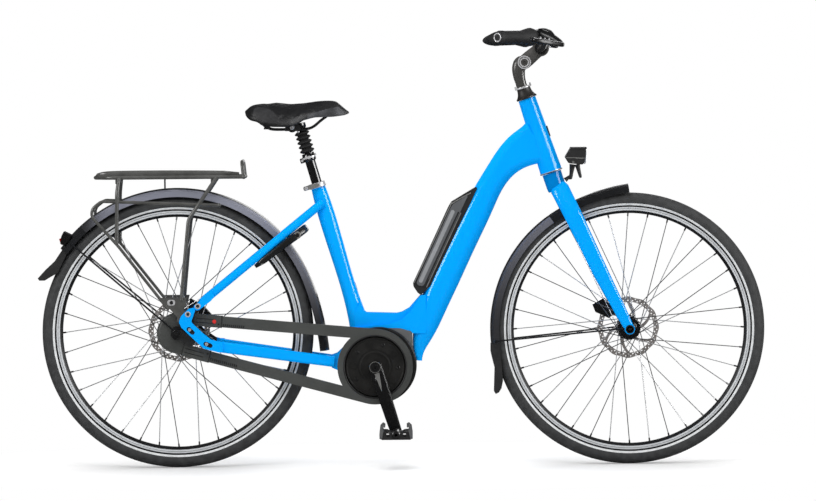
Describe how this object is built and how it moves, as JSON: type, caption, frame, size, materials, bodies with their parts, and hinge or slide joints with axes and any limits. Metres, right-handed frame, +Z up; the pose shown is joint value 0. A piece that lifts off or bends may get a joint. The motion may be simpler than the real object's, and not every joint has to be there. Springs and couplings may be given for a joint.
{
  "type": "electric bicycle",
  "caption": "Low step-through city bicycle with a mid motor, frame battery, closed chain case, disc brakes, fenders, rear rack and lamps.",
  "frame": {"origin": "the rider's seat, on the top of the saddle at its widest part, in the middle plane", "axes": "+X forward, +Y to the rider's left, +Z up"},
  "size_m": [1.872, 0.641, 1.1179],
  "materials": {
    "frame_blue": "glossy blue paint",
    "black_metal": "satin black anodised",
    "steel": "brushed steel",
    "rotor_steel": "ground steel",
    "rim_silver": "machined aluminium",
    "spoke_steel": "drawn steel",
    "tyre_rubber": "matt rubber with a pale stripe",
    "motor_grey": "dark cover",
    "case_grey": "dark grey moulded",
    "battery_grey": "silver grey case",
    "fender_black": "gloss black",
    "flap_rubber": "moulded rubber",
    "lamp_black": "gloss black with a clear front",
    "lamp_red": "black case with a red lens",
    "rack_steel": "dark grey coated tube",
    "black_plastic": "black moulded",
    "saddle_cover": "black synthetic leather",
    "post_metal": "black anodised"
  },
  "bodies": {
    "frame": {"down_tube": "frame_blue", "head_tube": "frame_blue", "seat_tube": "frame_blue", "motor_bracket": "frame_blue", "chainstays": "frame_blue", "seat_stays": "frame_blue", "dropout_links": "black_metal", "axle_carriers": "black_metal", "seat_clamp": "steel", "motor": "motor_grey", "chain_case": "case_grey", "battery": "battery_grey", "rear_axle": "steel", "rear_caliper": "black_metal", "rear_fender": "fender_black", "rear_mudflap": "flap_rubber", "rear_lamp": "lamp_red", "rear_rack": "rack_steel", "ring_lock": "black_plastic"},
    "steering": {"fork": "frame_blue", "front_axle": "black_metal", "front_caliper": "black_metal", "front_fender": "fender_black", "front_mudflap": "flap_rubber", "headlamp": "lamp_black", "headset_cone": "black_plastic", "stem": "black_metal", "handlebar": "black_metal", "grips": "flap_rubber", "brake_levers": "black_metal", "display": "black_plastic"},
    "front_wheel": {"front_tyre": "tyre_rubber", "front_rim": "rim_silver", "front_spokes": "spoke_steel", "front_hub": "black_metal", "front_rotor": "rotor_steel"},
    "rear_wheel": {"rear_tyre": "tyre_rubber", "rear_rim": "rim_silver", "rear_spokes": "spoke_steel", "rear_hub": "black_metal", "rear_rotor": "rotor_steel"},
    "crankset": {"cranks": "black_metal", "chainring": "motor_grey"},
    "pedal_right": {"pedal_right": "black_plastic"},
    "pedal_left": {"pedal_left": "black_plastic"},
    "saddle_post": {"saddle": "saddle_cover", "saddle_rails": "black_metal", "seatpost": "post_metal", "bellows": "flap_rubber"}
  },
  "joints": [
    {"name": "steer", "type": "hinge", "parent": "frame", "child": "steering", "pos_m": [0.70484, 0, -0.18514], "axis": [-0.309, 0, 0.9511], "range_deg": [-70, 70]},
    {"name": "front_wheel_spin", "type": "hinge", "parent": "steering", "child": "front_wheel", "pos_m": [0.90113, 0, -0.58863], "axis": [0, 1, 0], "continuous": true},
    {"name": "rear_wheel_spin", "type": "hinge", "parent": "frame", "child": "rear_wheel", "pos_m": [-0.26187, 0, -0.58863], "axis": [0, 1, 0], "continuous": true},
    {"name": "crank_spin", "type": "hinge", "parent": "frame", "child": "crankset", "pos_m": [0.24613, 0, -0.67963], "axis": [0, 1, 0], "continuous": true},
    {"name": "pedal_right_spin", "type": "hinge", "parent": "crankset", "child": "pedal_right", "pos_m": [0.29876, 0, -0.84653], "axis": [0, 1, 0], "continuous": true},
    {"name": "pedal_left_spin", "type": "hinge", "parent": "crankset", "child": "pedal_left", "pos_m": [0.19351, 0, -0.51273], "axis": [0, 1, 0], "continuous": true},
    {"name": "saddle_height", "type": "slide", "parent": "frame", "child": "saddle_post", "axis": [-0.2807, 0, 0.9598], "range_m": [-0.04, 0.06]}
  ]
}
